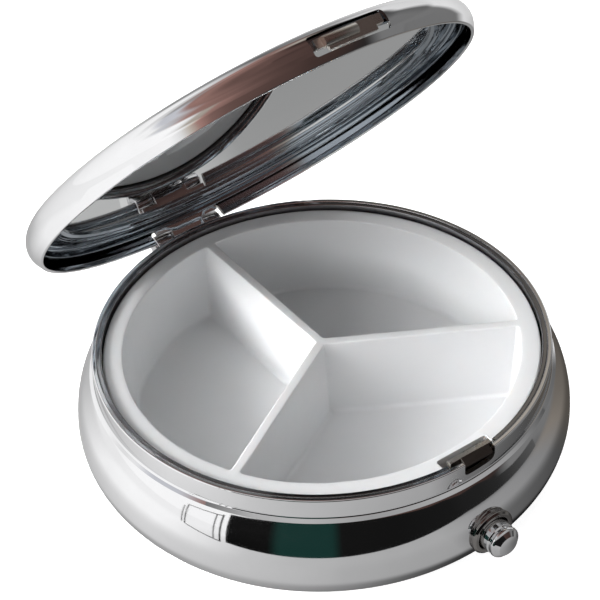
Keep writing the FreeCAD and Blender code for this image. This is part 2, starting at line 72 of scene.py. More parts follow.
def arc(cx, cy, radius, start, stop, steps=None):
    """An arc about (cx, cy), degrees; start to stop may run either way."""
    steps = steps or max(2, int(abs(stop - start) / 6 + 0.999))
    turn = 1 if stop > start else -1
    out = []
    for i in range(steps + 1):
        a = math.radians(start + (stop - start) * i / steps)
        out.append((cx + radius * math.cos(a), cy + radius * math.sin(a), turn * math.cos(a), turn * math.sin(a)))
    return ("arc", out)


def edges_of(items, closed=True, steps=5):
    """items: (x, y) sharp corner, (x, y, fillet) rounded corner, or an arc."""
    anchors = []
    for item in items:
        if item[0] == "arc":
            anchors.append((item[1][0][:2], item[1][-1][:2]))
        else:
            anchors.append((item[:2], item[:2]))
    count = len(items)
    runs = []
    for i, item in enumerate(items):
        if item[0] == "arc":
            runs.append(item[1])
            continue
        x, y = item[:2]
        fillet = item[2] if len(item) > 2 else 0
        if not fillet or (not closed and i in (0, count - 1)):
            runs.append([(x, y, None, None)])
            continue
        before, after = Vector(anchors[i - 1][1]), Vector(anchors[(i + 1) % count][0])
        here = Vector((x, y))
        a, b = (before - here), (after - here)
        room = min(a.length, b.length)
        a.normalize()
        b.normalize()
        half = 0.5 * math.acos(max(-1, min(1, a.dot(b))))
        if half > 1.5:
            runs.append([(x, y, None, None)])
            continue
        back = min(fillet / math.tan(half), 0.98 * room)
        radius = back * math.tan(half)
        centre = here + (a + b).normalized() * (radius / math.sin(half))
        p, q = here + a * back, here + b * back
        cross = (here - before).cross(after - here)
        turn = 1 if cross > 0 else -1
        a0 = math.atan2(p.y - centre.y, p.x - centre.x)
        a1 = math.atan2(q.y - centre.y, q.x - centre.x)
        while turn > 0 and a1 < a0:
            a1 += 2 * PI
        while turn < 0 and a1 > a0:
            a1 -= 2 * PI
        n = max(2, int(steps * abs(a1 - a0) / (PI / 2) + 0.999))
        run = []
        for k in range(n + 1):
            t = a0 + (a1 - a0) * k / n
            run.append((centre.x + radius * math.cos(t), centre.y + radius * math.sin(t), turn * math.cos(t), turn * math.sin(t)))
        runs.append(run)
    edges = []
    for i, run in enumerate(runs):
        for p, q in zip(run, run[1:]):
            edges.append((p[:2], q[:2], p[2:], q[2:]))
        if i == count - 1 and not closed:
            break
        p, q = run[-1], runs[(i + 1) % count][0]
        d = Vector((q[0] - p[0], q[1] - p[1]))
        if d.length < 1e-6:
            continue
        d.normalize()
        normal = (d.y, -d.x)
        edges.append((p[:2], q[:2], normal, normal))
    return edges


def split_long(edges, longest):
    """Long straight edges cut into shorter ones, so that cuts stay clean."""
    out = []
    for p, q, n0, n1 in edges:
        length = math.hypot(q[0] - p[0], q[1] - p[1])
        n = max(1, int(length / longest + 0.999))
        for k in range(n):
            s, t = k / n, (k + 1) / n
            mix = lambda a, b, u: (a[0] + (b[0] - a[0]) * u, a[1] + (b[1] - a[1]) * u)
            out.append((mix(p, q, s), mix(p, q, t), mix(n0, n1, s), mix(n0, n1, t)))
    return out


# ---- meshes -----------------------------------------------------------------

def new_object(name, mesh):
    obj = bpy.data.objects.new(name, mesh)
    SCENE.collection.objects.link(obj)
    return obj


def lathe(name, edges, segments=256, closed=True):
    """Turns an outline (radius, level) in mm about Z. Returns the object."""
    points = [e[0] for e in edges]
    if not closed:
        points.append(edges[-1][1])
    verts, index = [], []
    angles = [2 * PI * (k + 0.5) / segments for k in range(segments)]
    for r, z in points:
        if r < 1e-6:
            index.append([len(verts)] * segments)
            verts.append((0, 0, z * MM))
        else:
            index.append(list(range(len(verts), len(verts) + segments)))
            verts += [(r * MM * math.cos(a), r * MM * math.sin(a), z * MM) for a in angles]
    faces = []
    for i in range(len(edges)):
        a, b = index[i], index[(i + 1) % len(points)]
        for k in range(segments):
            m = (k + 1) % segments
            ring = []
            for v in (a[k], a[m], b[m], b[k]):
                if v not in ring:
                    ring.append(v)
            if len(ring) > 2:
                faces.append(ring)
    mesh = bpy.data.meshes.new(name)
    mesh.from_pydata(verts, [], faces)
    mesh.validate()
    obj = new_object(name, mesh)
    return obj


def exact_normals(obj, edges):
    """Sets the surface direction of each corner from the outline. Faces of material 1 are cuts."""
    mesh = obj.data
    co = np.zeros(len(mesh.vertices) * 3)
    mesh.vertices.foreach_get("co", co)
    co = co.reshape(-1, 3) / MM
    radius = np.hypot(co[:, 0], co[:, 1])
    P = np.array([e[0] for e in edges], float)
    Q = np.array([e[1] for e in edges], float)
    N0 = np.array([e[2] for e in edges], float)
    N1 = np.array([e[3] for e in edges], float)
    D = Q - P
    L = np.maximum((D ** 2).sum(1), 1e-12)
    count = len(mesh.polygons)
    flat = np.zeros(count * 3)
    mesh.polygons.foreach_get("normal", flat)
    flat = flat.reshape(-1, 3)
    total = np.zeros(count, int)
    mesh.polygons.foreach_get("loop_total", total)
    cut = np.zeros(count, int)
    mesh.polygons.foreach_get("material_index", cut)
    ids = np.zeros(len(mesh.loops), int)
    mesh.loops.foreach_get("vertex_index", ids)
    owner = np.repeat(np.arange(count), total)
    rz = np.stack([radius[ids], co[ids, 2]], 1)
    mid = np.stack([np.bincount(owner, rz[:, k]) / total for k in range(2)], 1)
    nearest = np.zeros(count, int)
    for first in range(0, count, 4096):
        m = mid[first:first + 4096, None, :]
        t = np.clip(((m - P) * D).sum(2) / L, 0, 1)
        nearest[first:first + 4096] = ((P + D * t[..., None] - m) ** 2).sum(2).argmin(1)
    k = nearest[owner]
    t = np.clip(((rz - P[k]) * D[k]).sum(1) / L[k], 0, 1)[:, None]
    n2 = N0[k] * (1 - t) + N1[k] * t
    n2 /= np.maximum(np.linalg.norm(n2, axis=1, keepdims=True), 1e-9)
    r = np.maximum(radius[ids], 1e-9)
    normals = np.stack([n2[:, 0] * co[ids, 0] / r, n2[:, 0] * co[ids, 1] / r, n2[:, 1]], 1)
    axis = radius[ids] < 1e-6
    normals[axis] = np.stack([0 * n2[axis, 0], 0 * n2[axis, 0], np.sign(n2[axis, 1])], 1)
    sliced = cut[owner] == 1
    normals[sliced] = flat[owner[sliced]]
    mesh.polygons.foreach_set("use_smooth", [True] * count)
    mesh.normals_split_custom_set(normals.tolist())
    mesh.update()


def soft_normals(obj, angle=32.0):
    """Smooth shading with hard edges kept, wide faces leading."""
    mesh = obj.data
    mesh.polygons.foreach_set("use_smooth", [True] * len(mesh.polygons))
    mesh.set_sharp_from_angle(angle=math.radians(angle))
    mod = obj.modifiers.new("weighted", "WEIGHTED_NORMAL")
    mod.mode = "FACE_AREA"
    mod.keep_sharp = True
    return obj


def prism(name, outline, low, high, axis="Z", bevel=0.0, steps=3, smooth=32.0):
    """A flat outline (mm) carried along an axis, its edges rounded by bevel."""
    verts = []
    for level in (low, high):
        for x, y in outline:
            if axis == "Z":
                verts.append((x * MM, y * MM, level * MM))
            elif axis == "X":
                verts.append((level * MM, x * MM, y * MM))
            else:
                verts.append((x * MM, level * MM, y * MM))
    n = len(outline)
    faces = [list(range(n - 1, -1, -1)), list(range(n, 2 * n))]
    faces += [[i, (i + 1) % n, n + (i + 1) % n, n + i] for i in range(n)]
    mesh = bpy.data.meshes.new(name)
    mesh.from_pydata(verts, [], faces)
    bm = bmesh.new()
    bm.from_mesh(mesh)
    bmesh.ops.recalc_face_normals(bm, faces=bm.faces)
    if bevel:
        sharp = [e for e in bm.edges if len(e.link_faces) == 2 and e.calc_face_angle(0) > math.radians(30)]
        bmesh.ops.bevel(bm, geom=sharp, offset=bevel * MM, offset_type="OFFSET", segments=steps, profile=0.5,
                        affect="EDGES", clamp_overlap=True)
    bm.to_mesh(mesh)
    bm.free()
    obj = new_object(name, mesh)
    return obj


def rounded_rect(x0, x1, y0, y1, r, steps=5):
    out = []
    for cx, cy, a in ((x1 - r, y0 + r, -90), (x1 - r, y1 - r, 0), (x0 + r, y1 - r, 90), (x0 + r, y0 + r, 180)):
        for k in range(steps + 1):
            t = math.radians(a + 90 * k / steps)
            out.append((cx + r * math.cos(t), cy + r * math.sin(t)))
    return out


def apply_boolean(obj, cutters, operation="DIFFERENCE"):
    """Cuts in place; the faces that a cut makes get material 1."""
    if operation == "DIFFERENCE":
        for c in cutters:
            while len(c.data.materials) < 2:
                c.data.materials.append(None)
            c.data.polygons.foreach_set("material_index", [1] * len(c.data.polygons))
        while len(obj.data.materials) < 2:
            obj.data.materials.append(None)
    for c in cutters:
        mod = obj.modifiers.new("cut", "BOOLEAN")
        mod.operation = operation
        mod.solver = "EXACT"
        mod.object = c
    graph = bpy.context.evaluated_depsgraph_get()
    mesh = bpy.data.meshes.new_from_object(obj.evaluated_get(graph))
    obj.modifiers.clear()
    obj.data = mesh
    for c in cutters:
        bpy.data.objects.remove(c)
    return obj


def close_open(obj, lid):
    """Lid pieces are drawn closed: swing them to where the frame holds them."""
    if lid:
        obj.data.transform(SWING)
    return obj


# ---- materials --------------------------------------------------------------

def material(name):
    mat = bpy.data.materials.new(name)
    mat.use_nodes = True
    tree = mat.node_tree
    shader = tree.nodes["Principled BSDF"]
    return mat, tree, shader


def noise(tree, scale, detail=4.0, rough=0.55, stretch=None, distortion=0.0):
    coords = tree.nodes.new("ShaderNodeTexCoord")
    tex = tree.nodes.new("ShaderNodeTexNoise")
    tex.inputs["Scale"].default_value = scale
    tex.inputs["Detail"].default_value = detail
    tex.inputs["Roughness"].default_value = rough
    tex.inputs["Distortion"].default_value = distortion
    if stretch:
        mapping = tree.nodes.new("ShaderNodeMapping")
        mapping.inputs["Scale"].default_value = stretch
        tree.links.new(coords.outputs["Object"], mapping.inputs["Vector"])
        tree.links.new(mapping.outputs["Vector"], tex.inputs["Vector"])
    else:
        tree.links.new(coords.outputs["Object"], tex.inputs["Vector"])
    return tex


def ramp(tree, source, stops):
    node = tree.nodes.new("ShaderNodeValToRGB")
    node.color_ramp.elements[0].position = stops[0][0]
    node.color_ramp.elements[1].position = stops[-1][0]
    for position, _ in stops[1:-1]:
        node.color_ramp.elements.new(position)
    for element, (_, value) in zip(node.color_ramp.elements, stops):
        element.color = (value, value, value, 1) if not hasattr(value, "__len__") else (*value, 1)
    tree.links.new(source, node.inputs["Fac"])
    return node


def bump(tree, shader, source, distance, strength=1.0, chain=None):
    node = tree.nodes.new("ShaderNodeBump")
    node.inputs["Distance"].default_value = distance
    node.inputs["Strength"].default_value = strength
    tree.links.new(source, node.inputs["Height"])
    if chain is not None:
        tree.links.new(chain.outputs["Normal"], node.inputs["Normal"])
    tree.links.new(node.outputs["Normal"], shader.inputs["Normal"])
    return node


def metal(name, tint, worn, rough, waviness=0.0, scratches=0.35, edge=0.72):
    """Plated sheet: a faint cloudiness in the plate, wipe marks and a slight unevenness of the pressing."""
    mat, tree, shader = material(name)
    shader.inputs["Metallic"].default_value = 1.0
    shader.inputs["Specular Tint"].default_value = (edge, edge, edge, 1)
    cloud = noise(tree, 90.0, 5.0, 0.6)
    colour = ramp(tree, cloud.outputs["Fac"], [(0.35, worn), (0.65, tint)])
    tree.links.new(colour.outputs["Color"], shader.inputs["Base Color"])
    wipe = noise(tree, 260.0, 6.0, 0.7, stretch=(1.0, 3.5, 6.0), distortion=0.6)
    gloss = ramp(tree, wipe.outputs["Fac"], [(0.3, rough), (0.62, rough * 1.35), (0.8, rough * (1 + 2.5 * scratches))])
    tree.links.new(gloss.outputs["Color"], shader.inputs["Roughness"])
    if waviness:
        wave = noise(tree, 140.0, 2.0, 0.5)
        bump(tree, shader, wave.outputs["Fac"], waviness * MM)
    return mat


chrome = metal("chrome", (0.93, 0.93, 0.94), (0.88, 0.88, 0.89), 0.045, waviness=0.012)
chrome_rim = metal("chrome_rim", (0.38, 0.38, 0.39), (0.28, 0.28, 0.29), 0.05, waviness=0.006)
# painted reflection: a plate darkened to stand in for the dark surroundings that the button bush reflects
chrome_dark = metal("chrome_dark", (0.40, 0.385, 0.37), (0.30, 0.285, 0.27), 0.07, waviness=0.01)
chrome_edge = metal("chrome_edge", (0.62, 0.60, 0.57), (0.45, 0.43, 0.41), 0.22, scratches=0.8)
chrome_inner = metal("chrome_inner", (0.44, 0.49, 0.54), (0.34, 0.38, 0.42), 0.03, waviness=0.003)
# painted shade: a dark brown that stands in for the shade in the latch notch, given to the hook's faces that stand back
# there
notch_painted_shade = metal("notch_painted_shade_steel", (0.10, 0.085, 0.075), (0.06, 0.05, 0.045), 0.35, scratches=0.8)
nickel = metal("nickel", (0.80, 0.77, 0.72), (0.70, 0.66, 0.60), 0.24, waviness=0.006, scratches=0.6)
steel = metal("steel", (0.62, 0.62, 0.63), (0.50, 0.50, 0.52), 0.28, scratches=0.7)

mirror, tree, shader = material("silvered_glass")
shader.inputs["Metallic"].default_value = 1.0
# painted shade: the silvering is darkened to about 0.62 so the tray it reflects reads as in shade; the noise adds a
# faint fog
fog_and_painted_shade = noise(tree, 60.0, 3.0)
colour = ramp(tree, fog_and_painted_shade.outputs["Fac"], [(0.3, (0.61, 0.625, 0.625)), (0.7, (0.645, 0.655, 0.655))])
tree.links.new(colour.outputs["Color"], shader.inputs["Base Color"])
dust = noise(tree, 900.0, 8.0, 0.75)
gloss = ramp(tree, dust.outputs["Fac"], [(0.4, 0.012), (0.72, 0.03), (0.85, 0.12)])
tree.links.new(gloss.outputs["Color"], shader.inputs["Roughness"])

plastic, tree, shader = material("white_plastic")
tint = noise(tree, 70.0, 4.0)
colour = ramp(tree, tint.outputs["Fac"], [(0.3, (0.675, 0.68, 0.687)), (0.7, (0.715, 0.72, 0.727))])
tree.links.new(colour.outputs["Color"], shader.inputs["Base Color"])
skin = noise(tree, 700.0, 5.0, 0.6)
gloss = ramp(tree, skin.outputs["Fac"], [(0.3, 0.36), (0.7, 0.48)])
tree.links.new(gloss.outputs["Color"], shader.inputs["Roughness"])
bump(tree, shader, skin.outputs["Fac"], 0.004 * MM)
shader.inputs["Subsurface Weight"].default_value = 0.15
shader.inputs["Subsurface Radius"].default_value = (0.0012, 0.001, 0.0009)
shader.inputs["Subsurface Scale"].default_value = 1.0

foam, tree, shader = material("adhesive_foam")
cells = noise(tree, 2500.0, 6.0, 0.8)
colour = ramp(tree, cells.outputs["Fac"], [(0.3, (0.03, 0.03, 0.03)), (0.7, (0.08, 0.08, 0.08))])
tree.links.new(colour.outputs["Color"], shader.inputs["Base Color"])
shader.inputs["Roughness"].default_value = 0.9
bump(tree, shader, cells.outputs["Fac"], 0.05 * MM)


def dress(obj, *mats):
    mesh = obj.data
    for k, mat in enumerate(mats):
        if k < len(mesh.materials):
            mesh.materials[k] = mat
        else:
            mesh.materials.append(mat)
    while len(mesh.materials) > len(mats):
        mesh.materials.pop(index=len(mesh.materials) - 1)
    return obj


def place(obj, body, node):
    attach(obj, body)
    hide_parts(*([node] if isinstance(node, str) else node))
    return obj


# ---- base shell -------------------------------------------------------------
outer_low = arc(20.0, 6.3, 5.0, -50, 0, 14)
outer_high = arc(15.5, 6.3, 9.5, 0, 34.64, 12)
inner_high = arc(15.5, 6.3, 9.0, 32.85, 0, 10)
inner_low = arc(20.0, 6.3, 4.5, 0, -50, 10)
base_edges = edges_of([
    (0, 0), (16.5, 0, 0.15), (16.7, 0.25, 0.12), (17.1, 0.25, 0.12), (17.3, 0, 0.15),
    (19.7, 0, 1.6), (21.0, 0.52, 1.0), outer_low, outer_high,
    (22.9, 11.98, 0.3), (22.9, 14.2, 0.17), (22.4, 14.2, 0.12), (22.4, 11.18, 0.2), inner_high, inner_low,
    (19.6, 0.5, 0.6), (0, 0.5),
], closed=False)
base_edges = split_long(base_edges, 1.6)
base = lathe("base_shell_spun", base_edges, 288, closed=False)
SIDE = 1.2    # the latch set sits a little to the right of the middle
LEVEL = 6.35  # the button's axis
NOTCH = SIDE + 0.35
hole = prism("hole", [(SIDE + 2.3 * math.cos(2 * PI * k / 48), LEVEL + 2.3 * math.sin(2 * PI * k / 48)) for k in range(48)], -28, -22, "Y")
notch = prism("notch", [(NOTCH + x, z) for x, z in ((-1.9, 15.5), (-1.9, 13.2), (-1.8, 12.92), (-1.55, 12.8), (1.35, 12.8), (1.72, 12.95), (1.9, 13.3), (1.9, 15.5))],
              -23.9, -21.5, "Y")
slot_low = prism("slot_low", rounded_rect(-4.3, 4.3, 22.5, 27, 0.3), 10.8, 11.25)
slot_high = prism("slot_high", rounded_rect(-4.3, 4.3, 22.95, 27, 0.02), 11.2, 13)
apply_boolean(base, [hole, notch, slot_low, slot_high])
exact_normals(base, base_edges)
dress(base, chrome, chrome_edge)
place(base, "box", "base_shell")

# ---- collar ring ------------------------------------------------------------
collar_edges = edges_of([
    (22.4, 11.9, 0.05), (22.4, 14.16, 0.1), (21.9, 14.16, 0.17), (21.9, 12.95, 0.05), (20.9, 12.95, 0.08), (20.9, 12.5, 0.08),
    (21.9, 12.5, 0.05), (21.9, 11.9, 0.05)])
collar = lathe("collar_ring_pressed", collar_edges, 256)
gap = prism("gap", rounded_rect(SIDE - 2.9, SIDE + 2.9, -24, -18, 0.3), 11, 16)
apply_boolean(collar, [gap])
exact_normals(collar, collar_edges)
dress(collar, chrome_rim, chrome_edge)
place(collar, "box", "collar_ring")


# ---- tray -------------------------------------------------------------------
def well_outline(inset, corner, centre, steps=6):
    """One well, seen from above: two webs' faces and the round wall, inset from its top edge."""
    half, R = 0.475, 19.85 - inset
    d = half + inset
    # faces: x = d, and the web at -30 degrees offset by d
    u = Vector((math.cos(-PI / 6), math.sin(-PI / 6)))
    n = Vector((math.sin(PI / 6), math.cos(PI / 6)))
    pts = []
    c = centre
    # corner between the webs
    tip = Vector((d + c, 0)) + Vector((0, 0))
    # centre of a circle of radius c that touches both web faces
    k = (d + c - (d + c) * n.x) / n.y
    cen = Vector((d + c, k))
    for s in range(steps + 1):
        a = math.radians(180 + 60 * s / steps)
        pts.append(cen + c * Vector((math.cos(a), math.sin(a))))
    # web at -30 degrees meets the round wall
    r = corner
    h = d + r
    along = math.sqrt((R - r) ** 2 - h * h)
    cen = u * along + n * h
    a1 = math.degrees(math.atan2(cen.y, cen.x))
    for s in range(steps + 1):
        a = math.radians(-120 + (a1 + 120) * s / steps)
        pts.append(cen + r * Vector((math.cos(a), math.sin(a))))
    # round wall
    cen2 = Vector((h, math.sqrt((R - r) ** 2 - h * h)))
    a2 = math.degrees(math.atan2(cen2.y, cen2.x))
    n_arc = 56
    for s in range(1, n_arc):
        a = math.radians(a1 + (a2 - a1) * s / n_arc)
        pts.append(R * Vector((math.cos(a), math.sin(a))))
    for s in range(steps + 1):
        a = math.radians(a2 + (180 - a2) * s / steps)
        pts.append(cen2 + r * Vector((math.cos(a), math.sin(a))))
    return pts


def build_tray():
    bm = bmesh.new()
    top, floor, lip, foot = 13.55, 4.7, 0.13, 0.45
    draft = math.tan(math.radians(3))
    levels = []
    for k in range(5):
        a = k / 4 * PI / 2
        levels.append((top - lip * (1 - math.cos(a)), -lip * (1 - math.sin(a))))
    depth = top - floor
    for k in range(1, 7):
        z = top - lip - (depth - lip - foot) * k / 6
        levels.append((z, (top - lip - z) * draft))
    base_in = levels[-1][1]
    for k in range(1, 6):
        a = k / 5 * PI / 2
        levels.append((floor + foot * (1 - math.sin(a)), base_in + foot * (1 - math.cos(a))))
    rims = []
    for w in range(3):
        turn = Matrix.Rotation(math.radians(120 * w), 2)
        rings = []
        for z, inset in levels:
            ring = [turn @ p for p in well_outline(inset, 0.3, 0.2)]
            rings.append([bm.verts.new((p.x * MM, p.y * MM, z * MM)) for p in ring])
        for a, b in zip(rings, rings[1:]):
            for i in range(len(a)):
                j = (i + 1) % len(a)
                bm.faces.new((a[i], a[j], b[j], b[i]))
        bm.faces.new(list(reversed(rings[-1])))
        rims.append(rings[0])
    # outside: flange and cup
    shell = edges_of([(20.5, 13.55), (21.8, 13.55, 0.22), (21.8, 12.95, 0.1), (20.35, 12.95, 0.15), (19.7, 3.9, 0.6), (0, 3.9)], closed=False)
    shell = [(e[1], e[0], e[3], e[2]) for e in reversed(shell)]
    seg = 192
    previous = None
    outer = None
    for r, z in [shell[0][0]] + [e[1] for e in shell]:
        if r < 1e-6:
            ring = [bm.verts.new((0, 0, z * MM))]
        else:
            ring = [bm.verts.new((r * MM * math.cos(2 * PI * k / seg), r * MM * math.sin(2 * PI * k / seg), z * MM)) for k in range(seg)]
        if previous is not None:
            for k in range(seg):
                m = (k + 1) % seg
                if len(previous) == 1:
                    bm.faces.new((previous[0], ring[m], ring[k]))
                else:
                    bm.faces.new((previous[k], previous[m], ring[m], ring[k]))
        previous = ring
    outer = previous
    edges = set()
    for ring in rims + [outer]:
        for i in range(len(ring)):
            edges.add(bm.edges.get((ring[i], ring[(i + 1) % len(ring)])))
    bmesh.ops.triangle_fill(bm, use_beauty=True, use_dissolve=False, edges=list(edges), normal=(0, 0, 1))
    bmesh.ops.recalc_face_normals(bm, faces=bm.faces)
    mesh = bpy.data.meshes.new("pill_tray_moulding")
    bm.to_mesh(mesh)
    bm.free()
    return new_object("pill_tray_moulding", mesh)


tray = build_tray()
relief = prism("relief", rounded_rect(SIDE - 3.0, SIDE + 3.0, -23, -20.35, 0.35), 12.8, 16)
apply_boolean(tray, [relief])
soft_normals(tray, 40)
dress(tray, plastic, plastic)
place(tray, "box", "pill_tray")


# ---- button, bush -----------------------------------------------------------
def turned_forward(name, items, segments=96, closed=True):
    """Turned about the button's axis: outlines are (radius, distance forward of the box's middle)."""
    edges = edges_of(items, closed=closed, steps=6)
    obj = lathe(name, edges, segments, closed=closed)
    exact_normals(obj, edges)
    obj.data.transform(Matrix.Translation((SIDE * MM, 0, LEVEL * MM)) @ Matrix.Rotation(PI / 2, 4, "X"))
    return obj


bush = turned_forward("button_bush_turned", [
    (1.75, 23.3), (2.3, 23.3), (2.3, 24.95, 0.1), (2.42, 25.05, 0.08), (2.42, 25.3, 0.12), (2.18, 25.5, 0.12), (1.85, 25.5, 0.1), (1.75, 25.3, 0.1)])
# the bush's darkness is painted reflection in its base colour
dress(bush, chrome_dark)
place(bush, "box", "button_bush")

button = turned_forward("push_button_cap", [
    (0.9, 23.3), (1.65, 23.3, 0.05), (1.65, 26.35, 0.08), (1.52, 26.48, 0.06), (1.52, 26.68, 0.06), (1.65, 26.81, 0.08), (1.65, 27.1, 0.42),
    arc(0, 23.2, 4.5, 76, 90, 8), (0, 27.6), (0, 26.2), (0.9, 26.2)], closed=True)
dress(button, chrome)
place(button, "latch", "push_button")

# ---- lid shell --------------------------------------------------------------
bc, bl = 22.3, 13.6
crown_r = (bc * bc + 0.35 * 0.35) / (2 * 0.35)
crown_a = math.degrees(math.asin(bc / crown_r))
lid_edges = edges_of([
    (23.35, 12.05, 0.12), (23.75, 12.05, 0.18),
    arc(bc, bl, 2.0, -26.7, 89.2, 26),
    arc(0, 15.6 + 0.35 - crown_r, crown_r, 90 - crown_a, 90, 30),
    arc(0, 15.2 + 0.35 - crown_r, crown_r, 90, 90 - crown_a, 30),
    arc(bc, bl, 1.6, 89.2, -34.2, 22),
], closed=True)
lid_edges = [e for e in lid_edges if not (e[0][0] < 1e-6 and e[1][0] < 1e-6)]
# start the outline at the axis
start = [i for i, e in enumerate(lid_edges) if e[0][0] < 1e-6][0]
lid_edges = lid_edges[start:] + lid_edges[:start]
lid = lathe("lid_shell_pressed", split_long(lid_edges, 1.6), 288, closed=False)
lid_edges = split_long(lid_edges, 1.6)
hinge_gap = prism("hinge_gap", rounded_rect(-4.3, 4.3, 9.0, 13.55, 0.45), 22.9, 27, "Y")
window = prism("window", rounded_rect(SIDE - 4.2, SIDE + 4.2, 12.75, 14.75, 0.35), -27, -22.8, "Y")
apply_boolean(lid, [hinge_gap, window])
exact_normals(lid, lid_edges)
close_open(lid, True)
dress(lid, chrome, chrome_edge)
place(lid, "lid", "lid_shell")

# ---- bezel, mirror, pad -----------------------------------------------------
bezel_edges = edges_of([
    (20.2, 14.65, 0.04), (20.2, 14.47, 0.08), (20.62, 14.35, 0.15), (20.95, 14.35, 0.06), (21.05, 14.17, 0.08), (21.35, 14.17, 0.08),
    (21.45, 14.35, 0.06), (22.15, 14.35, 0.04), (22.25, 14.46, 0.04), (22.5, 14.46, 0.04), (22.6, 14.35, 0.04), (23.1, 14.35, 0.3), (23.1, 13.5, 0.1), (23.45, 13.5, 0.12), (23.45, 14.65, 0.05)])
bezel = lathe("mirror_bezel_pressed", bezel_edges, 288)
exact_normals(bezel, bezel_edges)
close_open(bezel, True)
dress(bezel, chrome_inner)
place(bezel, "lid", "mirror_bezel")

glass_edges = edges_of([(0, 14.65), (20.9, 14.65, 0.06), (20.9, 15.1, 0.06), (0, 15.1)], closed=False)
glass = lathe("lid_mirror_glass", glass_edges, 192, closed=False)
exact_normals(glass, glass_edges)
close_open(glass, True)
dress(glass, mirror)
place(glass, "lid", "lid_mirror")


# ---- pieces kept from the frame ---------------------------------------------
def keep(node, mat, bevel=0.0, slot=None):
    obj = frame["nodes"][node]
    obj.data.materials.clear()
    obj.data.materials.append(mat)
    for poly in obj.data.polygons:
        poly.material_index = 0
    if bevel:
        weld = obj.modifiers.new("weld", "WELD")
        weld.merge_threshold = 1e-6
        mod = obj.modifiers.new("bevel", "BEVEL")
        mod.width = bevel * MM
        mod.segments = 3
        mod.limit_method = "ANGLE"
        mod.angle_limit = math.radians(35)
        mod.harden_normals = True
    return obj


hook = keep("latch_hook", nickel, 0.06)
hook.data.materials.append(notch_painted_shade)    # painted shade: the faces that stand back in the notch get a dark brown in place of the shade that falls there
for poly in hook.data.polygons:
    if poly.normal.y < -0.12:
        poly.material_index = 1
keep("latch_guide", steel)
# the coil is a copy of the frame's spring, carried with the box
low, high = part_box("latch_spring")
coil = new_object("latch_spring_coil", frame["nodes"]["latch_spring"].data.copy())
dress(coil, steel)
place(coil, "box", "latch_spring")
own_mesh(coil)
keep("button_plunger", steel)
keep("base_hinge_leaf", chrome, 0.08)
keep("hinge_pin", chrome, 0.08)
keep("lid_hinge_leaf", chrome, 0.08)
keep("lid_strike", nickel, 0.06)
keep("mirror_pad", foam)

# ---- floor, light, camera ---------------------------------------------------
mesh = bpy.data.meshes.new("floor")
mesh.from_pydata([(-2, -2, 0), (2, -2, 0), (2, 2, 0), (-2, 2, 0)], [], [(0, 1, 2, 3)])
floor = new_object("floor", mesh)
floor_mat, tree, shader = material("pale_floor")
shader.inputs["Base Color"].default_value = (0.6, 0.6, 0.6, 1)
shader.inputs["Roughness"].default_value = 0.9
shader.inputs["Specular IOR Level"].default_value = 0.1
shader.inputs["Emission Color"].default_value = (1, 1, 1, 1)
shader.inputs["Emission Strength"].default_value = 0.86
dress(floor, floor_mat)

# What polished sheet sees: a soft white side to the left, a dark room in front, a brown-grey
# side to the right, white again behind, under a brown ceiling. The directions are turned about
# the box's own axis, 0 straight ahead of the button and positive to the right.
def shade(v, warm=False):
    """A brightness as the eye sees it, turned into light; warm leans it towards brown."""
    eye = (1.2 * v, 0.93 * v, 0.87 * v) if warm else (v, v, v)
    return tuple(e / 12.92 if e <= 0.04045 else ((e + 0.055) / 1.055) ** 2.4 for e in eye)


def warm(v):
    return shade(v, True)


def mild(v):
    """A little warm, as brown paper is in soft light."""
    return tuple(a * b for a, b in zip(shade(v), (1.12, 1.0, 0.87)))


def azimuth_of(tree, vector):
    split = tree.nodes.new("ShaderNodeSeparateXYZ")
    tree.links.new(vector, split.inputs["Vector"])
    flip = tree.nodes.new("ShaderNodeMath")
    flip.operation = "MULTIPLY"
    flip.inputs[1].default_value = -1
    tree.links.new(split.outputs["Y"], flip.inputs[0])
    angle = tree.nodes.new("ShaderNodeMath")
    angle.operation = "ARCTAN2"
    tree.links.new(split.outputs["X"], angle.inputs[0])
    tree.links.new(flip.outputs["Value"], angle.inputs[1])
    scaled = tree.nodes.new("ShaderNodeMapRange")
    scaled.inputs["From Min"].default_value = -PI
    scaled.inputs["From Max"].default_value = PI
    tree.links.new(angle.outputs["Value"], scaled.inputs["Value"])
    return scaled.outputs["Result"], split


def by_azimuth(tree, azimuth, stops):
    return ramp(tree, azimuth, [((a + 180) / 360, c if hasattr(c, "__len__") else shade(c)) for a, c in stops])


def rise(tree, source, low, high):
    node = tree.nodes.new("ShaderNodeMapRange")
    node.interpolation_type = "SMOOTHSTEP"
    node.inputs["From Min"].default_value = low
    node.inputs["From Max"].default_value = high
    tree.links.new(source, node.inputs["Value"])
    return node.outputs["Result"]


def mix_colour(tree, factor, a, b):
    node = tree.nodes.new("ShaderNodeMix")
    node.data_type = "RGBA"
    tree.links.new(factor, node.inputs[0])
    tree.links.new(a, node.inputs[6])
    tree.links.new(b, node.inputs[7])
    return node.outputs[2]


def layered(tree, azimuth, height, bands):
    """bands: (from, to, stops) in rising order; each fades in over its own stretch of height."""
    colour = None
    for low, high, stops in bands:
        here = by_azimuth(tree, azimuth, stops).outputs["Color"]
        colour = here if colour is None else mix_colour(tree, rise(tree, height, low, high), colour, here)
    return colour


def sine(degrees):
    return math.sin(math.radians(degrees))


